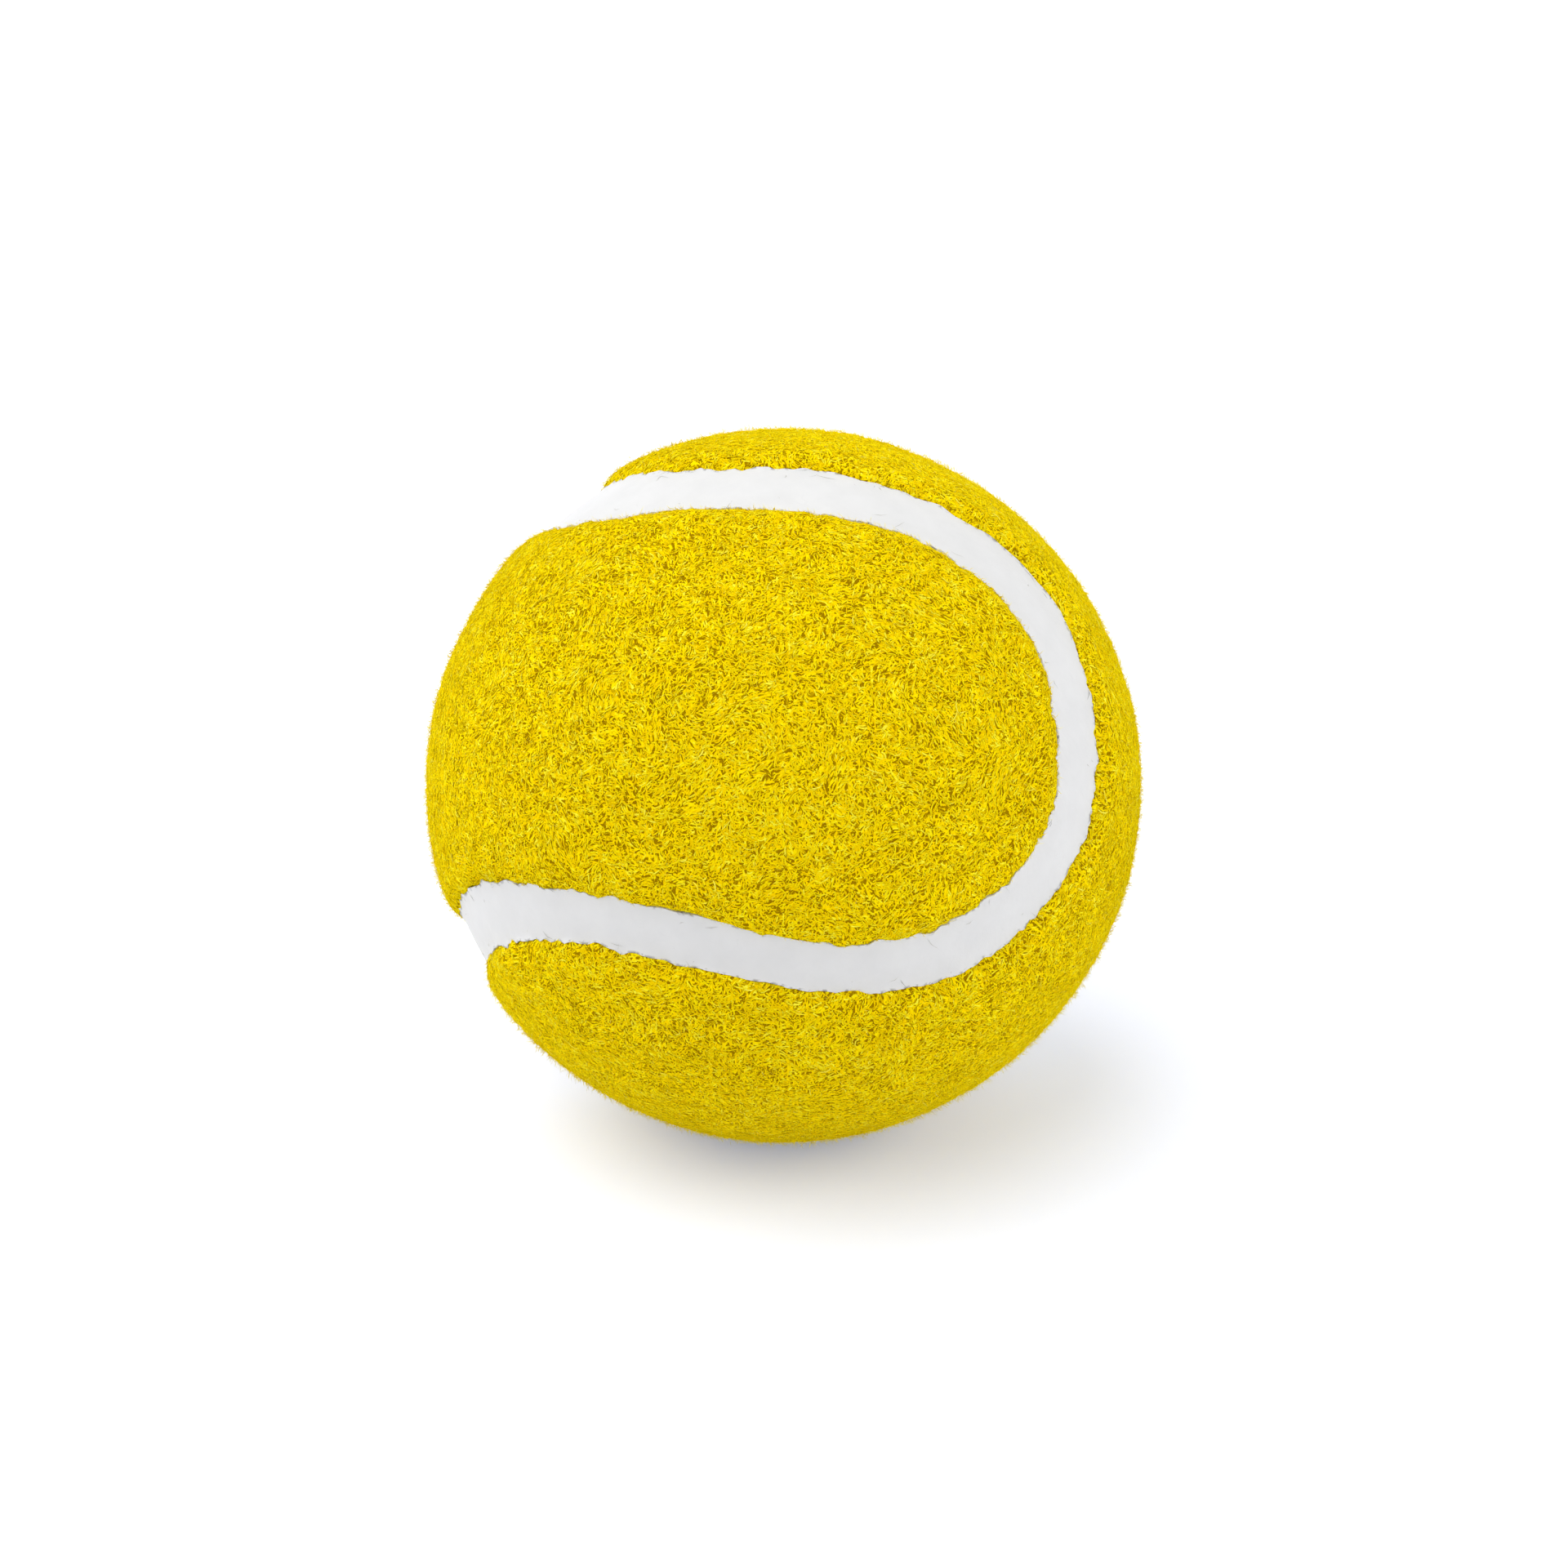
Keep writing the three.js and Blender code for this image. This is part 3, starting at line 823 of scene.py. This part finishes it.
def fibre_map(mesh):
    """Gives each fibre a cell of its own on the piece's map, unrolled, for the baked colours."""
    vertex = np.zeros(len(mesh.loops), np.int32)
    mesh.loops.foreach_get("vertex_index", vertex)
    start = np.zeros(len(mesh.polygons), np.int32)
    mesh.polygons.foreach_get("loop_start", start)
    total = np.zeros(len(mesh.polygons), np.int32)
    mesh.polygons.foreach_get("loop_total", total)
    face = np.repeat(np.arange(len(start)), total)
    number, step, side = (values_of(mesh, name, np.int32)[vertex] for name in ("number", "step", "side"))
    tip = (step == 0) | (step == step.max())
    first = np.minimum.reduceat(np.where(tip, FIBRE_SIDES, side), start)[face]
    last = np.maximum.reduceat(np.where(tip, 0, side), start)[face]
    wraps = last - first == FIBRE_SIDES - 1
    side = np.where(wraps & (side == 0), FIBRE_SIDES, side)
    middle = np.where(wraps, FIBRE_SIDES - 1, first) + 0.5
    across = (np.where(tip, middle, side) + 0.5) / (FIBRE_SIDES + 1)
    up = (step + 0.5) / (step.max() + 1)
    cells = math.ceil(math.sqrt(number.max() + 1))
    places = np.stack([number % cells + across, number // cells + up], axis=1) / cells
    mesh.uv_layers.new(name="OFBake").uv.foreach_set("vector", places.astype(np.float32).ravel())
    for name in ("number", "step", "side"):
        mesh.attributes.remove(mesh.attributes[name])


def nap_area(mesh):
    """The area of a piece that carries fibres."""
    nap = values_of(mesh, "nap", np.float32)
    return sum(face.area for face in mesh.polygons if nap[list(face.vertices)].mean() > LEAST_NAP)


pile = pile_tree()
strand_fibre = fibre("pile fibre", STRAND_SHADES)
fuzz_fibre = fibre("loose fibre", FUZZ_SHADES)
PILE_KINDS = (
    ("strands", STRANDS, strand_fibre),
    ("curls", CURLS, strand_fibre),
    ("loose_pile", FUZZ, fuzz_fibre),
)


def pile_piece(name, base, line, form, material, seed):
    """Fibres of one form on a panel or on the seam."""
    extra = {
        "Fibres per square metre": form["Fibres"] / nap_area(base.data),
        "Overhang": OVERHANG,
        "Fringe": FRINGE,
        "Ball radius": ball_radius,
        "Floor": floor_height,
        "Seed": seed,
        "Seam line": line,
        "Material": material,
    }
    piece = made_by(pile, name, base.data, form | extra)
    fibre_map(piece.data)
    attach(piece, "root")
    return piece


def pile_on(side_name, panel, edge, first_seed):
    """All the pile of one panel."""
    line = seam_line_object("seam_line_" + side_name, edge)
    pieces = []
    for number, (kind, form, material) in enumerate(PILE_KINDS):
        pieces.append(pile_piece(f"{kind}_{side_name}", panel, line, form, material, first_seed + number))
    bpy.data.objects.remove(line)
    return pieces


front_pile = pile_on("front", front_panel, front_edge, first_seed=21)
back_pile = pile_on("back", back_panel, back_edge, first_seed=31)


# The seam: off-white rubber in one endless band. It is vulcanised between the panels, so it fills the
# gap out to their ragged edges, where it climbs in torn lips and leaves a hairline crack here and there.
SEAM_ROWS = 20
SEAM_CROWN = 0.0004  # how much higher the rubber stands than in the CAD solid, beside felt with its loft
CRACK_SPACING = 0.002
WIDEST_CRACK = 0.0002
LEAST_CRACK = 0.00001
LIPS = ((0.0013, 0.0001), (0.0006, 0.00008))  # spacing and height of the lips
LIP_STEEPNESS = 8  # the power with which the rubber climbs towards its edge
SEAM_MARKS = {
    "clean": (0.705, 0.705, 0.705, 1),
    "mottle": (0.67, 0.67, 0.67, 1),
    # dark specks at the edges beside the felt: painted shade under the felt's edge, with dirt
    "edge_shade_and_dirt": (0.28, 0.27, 0.25, 1),
    "hairline": (0.68, 0.68, 0.68, 1),
}
SEAM_ROUGHNESS = 0.6
SEAM_SHINE = 0.3
SEAM_GRAIN = 0.0008
SEAM_SKIN = 0.00003
MOTTLE_SIZE = 0.003
MOTTLE_RANGE = (0.35, 0.7)
HAIRLINES = ((0.004, 0.008), (0.0021, 0.006))  # spacing of the lines, and width as a share of the noise
PATCH_SIZE = 1.7  # size of the patches that have hairlines, in spacings of the lines
PATCH_RANGE = (0.56, 0.64)
SHADE_AND_DIRT_REACH = (0.9, 0.99)  # where the painted shade and dirt set in and are full, from the seam's middle, 0, to its edge, 1
SHADE_AND_DIRT_SIZE = 0.0006
SHADE_AND_DIRT_RANGE = (0.5, 0.62)
LINT = FUZZ | {
    "Fibres": 500,
    "Longest": 0.0024,
    "Lowest tilt": math.radians(-2),
    "Highest tilt": math.radians(8),
    "Lift": 0.00005,
    "Thickness": 0.00003,
}
LINT_LEAST_OUT = 0.5  # lint lies on the outer half of the seam, where the felt sheds it
# The lint's grey is partly painted shade: translucent hairs show on the rubber by the shadows they cast.
LINT_SHADES = ((0.1, (0.16, 0.15, 0.12, 1)), (0.8, (0.45, 0.43, 0.35, 1)))


def crack_beside(seed):
    """How far the rubber stops short of a panel along the seam."""
    random = np.random.default_rng(seed)
    return np.maximum(closed_noise(random, CRACK_SPACING, WIDEST_CRACK), 0) + LEAST_CRACK


def lip_beside(seed):
    """How far the rubber climbs at a panel's edge along the seam."""
    random = np.random.default_rng(seed)
    climb = SEAM_MENISCUS + sum(closed_noise(random, spacing, height) for spacing, height in LIPS)
    return np.maximum(climb, 0)


def seam_mesh(name):
    """The band: rows over its top from the front panel to the back one, and back along its floor. It
    holds how far out each point lies, and a nap where lint settles."""
    front = front_edge - crack_beside(seed=41)
    back = back_edge - crack_beside(seed=42)
    front_lip = lip_beside(seed=43)
    back_lip = lip_beside(seed=44)
    rows = []
    out = []
    for share in np.sin(np.linspace(math.pi / 2, -math.pi / 2, SEAM_ROWS + 1)):
        distance = share * np.where(share > 0, front, back)
        lip = np.where(share > 0, front_lip, back_lip) * abs(share) ** LIP_STEEPNESS
        rows.append(beside_seam(turns, 1, distance) * (seam_radius + SEAM_CROWN + lip)[:, None])
        out.append(abs(share))
    nap = [float(share > LINT_LEAST_OUT) for share in out]
    for share in (-1, 0, 1):
        distance = share * (front if share > 0 else back)
        rows.append(beside_seam(turns, 1, distance) * seam_floor)
        out.append(abs(share))
        nap.append(0.0)
    grid = np.arange(len(rows) * PANEL_STEPS).reshape(len(rows), PANEL_STEPS)
    below = np.roll(grid, -1, axis=0)
    ahead = np.roll(grid, -1, axis=1)
    faces = np.stack([grid, below, np.roll(below, -1, axis=1), ahead], axis=-1).reshape(-1, 4)
    numbers = {"out": np.repeat(out, PANEL_STEPS), "nap": np.repeat(nap, PANEL_STEPS)}
    return laid_mesh(name, np.vstack(rows), [], faces.tolist(), **numbers)


def blended(tree, share, colour, other):
    """A colour with a share of another one."""
    mix = add(tree, "ShaderNodeMix", {"Factor": share}, data_type="RGBA")
    for key, value in (("A", colour), ("B", other)):
        socket = next(socket for socket in mix.inputs if socket.name == key and socket.type == "RGBA")
        if isinstance(value, bpy.types.NodeSocket):
            tree.links.new(value, socket)
        else:
            socket.default_value = value
    return next(socket for socket in mix.outputs if socket.type == "RGBA")


def white_rubber():
    """Off-white rubber with a faint mottle, hair-thin marks in patches, and dark specks towards its edges:
    painted shade under the felt's edge, with dirt.
    """
    material, tree, shader = surface("seam rubber", SEAM_ROUGHNESS, SEAM_SHINE)
    mottle = within(tree, grain(tree, MOTTLE_SIZE, detail=5.0), *MOTTLE_RANGE)
    colour = blended(tree, mottle, SEAM_MARKS["clean"], SEAM_MARKS["mottle"])
    for spacing, width in HAIRLINES:
        crossing = maths(tree, "ABSOLUTE", maths(tree, "SUBTRACT", grain(tree, spacing, detail=2.0), 0.5))
        line = maths(tree, "SUBTRACT", 1.0, within(tree, crossing, width / 2, width))
        patch = within(tree, grain(tree, spacing * PATCH_SIZE, detail=1.0), *PATCH_RANGE)
        colour = blended(tree, maths(tree, "MULTIPLY", line, patch), colour, SEAM_MARKS["hairline"])
    # Painted shade with dirt: dark specks along the seam's edges, under the felt.
    near_edge = within(tree, held(tree, "out"), *SHADE_AND_DIRT_REACH)
    specks = within(tree, grain(tree, SHADE_AND_DIRT_SIZE, detail=3.0), *SHADE_AND_DIRT_RANGE)
    colour = blended(tree, maths(tree, "MULTIPLY", near_edge, specks), colour, SEAM_MARKS["edge_shade_and_dirt"])
    tree.links.new(colour, shader.inputs["Base Color"])
    tree.links.new(relief(tree, grain(tree, SEAM_GRAIN), SEAM_SKIN), shader.inputs["Normal"])
    return material


seam = new_object("seam_rubber", seam_mesh("seam_rubber"))
seam.data.materials.append(white_rubber())
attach(seam, "root")
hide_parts("seam_band")

whole_seam = seam_line_object("seam_line_lint", np.zeros(PANEL_STEPS))
# Grey lint on the seam, its grey partly painted shade of the hairs on the rubber.
pile_piece("seam_lint", seam, whole_seam, LINT, fibre("lint", LINT_SHADES, sheen=0.0), seed=51)
bpy.data.objects.remove(whole_seam)


# The stage: a white floor that shows as white as its backdrop, a large soft lamp from the left, a
# weaker one low on the right, a white dome that is dimmer on the camera's side, and the camera.
CAMERA_DISTANCE = 0.7
CAMERA_ELEVATION = math.radians(30)
CAMERA_LENS = 174.15
CAMERA_SHIFT = 2 / 1920  # two pixels of the photograph's width
FLOOR_SIZE = 6.0
FLOOR_COLOUR = (0.93, 0.94, 0.98, 1)
FLOOR_ROUGHNESS = 0.9
FLOOR_LIFT = 0.3  # light added where the camera sees the floor
FLOOR_LIFT_COLOUR = (0.46, 0.62, 1, 1)  # it makes up for the yellow light off the felt
DOME_STRENGTH = 0.46
DOME_SLOPE = 0.35  # how much brighter it is behind the ball, and dimmer in front of it
LAMPS = (  # name, strength, spread, bearing from the right and height, in degrees
    ("soft_lamp", 2.52, 90, 185, 55),
    ("fill_lamp", 1.52, 60, -20, 20),
)


def seen(tree):
    """1 where the camera looks, also in a gloss or through a clear thing, and 0 for light given off."""
    path = add(tree, "ShaderNodeLightPath").outputs
    looked_at = maths(tree, "MAXIMUM", path["Is Camera Ray"], path["Is Glossy Ray"])
    return maths(tree, "MAXIMUM", looked_at, path["Is Transmission Ray"])


def white_floor():
    material, tree, shader = surface("white floor", FLOOR_ROUGHNESS, shine=0.0)
    shader.inputs["Base Color"].default_value = FLOOR_COLOUR
    shader.inputs["Emission Color"].default_value = FLOOR_LIFT_COLOUR
    tree.links.new(maths(tree, "MULTIPLY", seen(tree), FLOOR_LIFT), shader.inputs["Emission Strength"])
    return material


half = FLOOR_SIZE / 2
corners = [(x * half, y * half, floor_height) for x, y in ((-1, -1), (1, -1), (1, 1), (-1, 1))]
floor_mesh = bpy.data.meshes.new("floor")
floor_mesh.from_pydata(corners, [], [(0, 1, 2, 3)])
floor_mesh.materials.append(white_floor())
floor = new_object("floor", floor_mesh)

for lamp_name, strength, spread, bearing, lamp_height in LAMPS:
    lamp_data = bpy.data.lights.new(lamp_name, "SUN")
    lamp_data.energy = strength
    lamp_data.angle = math.radians(spread)
    lamp = new_object(lamp_name, lamp_data)
    lamp.rotation_euler = (0, math.radians(90 - lamp_height), math.radians(bearing))

world = bpy.data.worlds.new("studio")
world.use_nodes = True
sky = world.node_tree
direction = add(sky, "ShaderNodeSeparateXYZ", {0: add(sky, "ShaderNodeTexCoord").outputs["Generated"]})
dome = maths(sky, "MULTIPLY_ADD", direction.outputs["Y"], DOME_SLOPE, DOME_STRENGTH)
glow = maths(sky, "MULTIPLY_ADD", seen(sky), maths(sky, "SUBTRACT", 1.0, dome), dome)
background = sky.nodes["Background"]
background.inputs["Color"].default_value = (1, 1, 1, 1)
sky.links.new(glow, background.inputs["Strength"])
bpy.context.scene.world = world

camera_data = bpy.data.cameras.new("camera")
camera_data.lens = CAMERA_LENS
camera_data.sensor_fit = "HORIZONTAL"
camera_data.shift_y = CAMERA_SHIFT
camera = new_object("camera", camera_data)
camera.location = (
    0,
    -CAMERA_DISTANCE * math.cos(CAMERA_ELEVATION),
    CAMERA_DISTANCE * math.sin(CAMERA_ELEVATION),
)
camera.rotation_euler = (math.pi / 2 - CAMERA_ELEVATION, 0, 0)
bpy.context.scene.camera = camera
bpy.context.scene.view_settings.view_transform = "Standard"
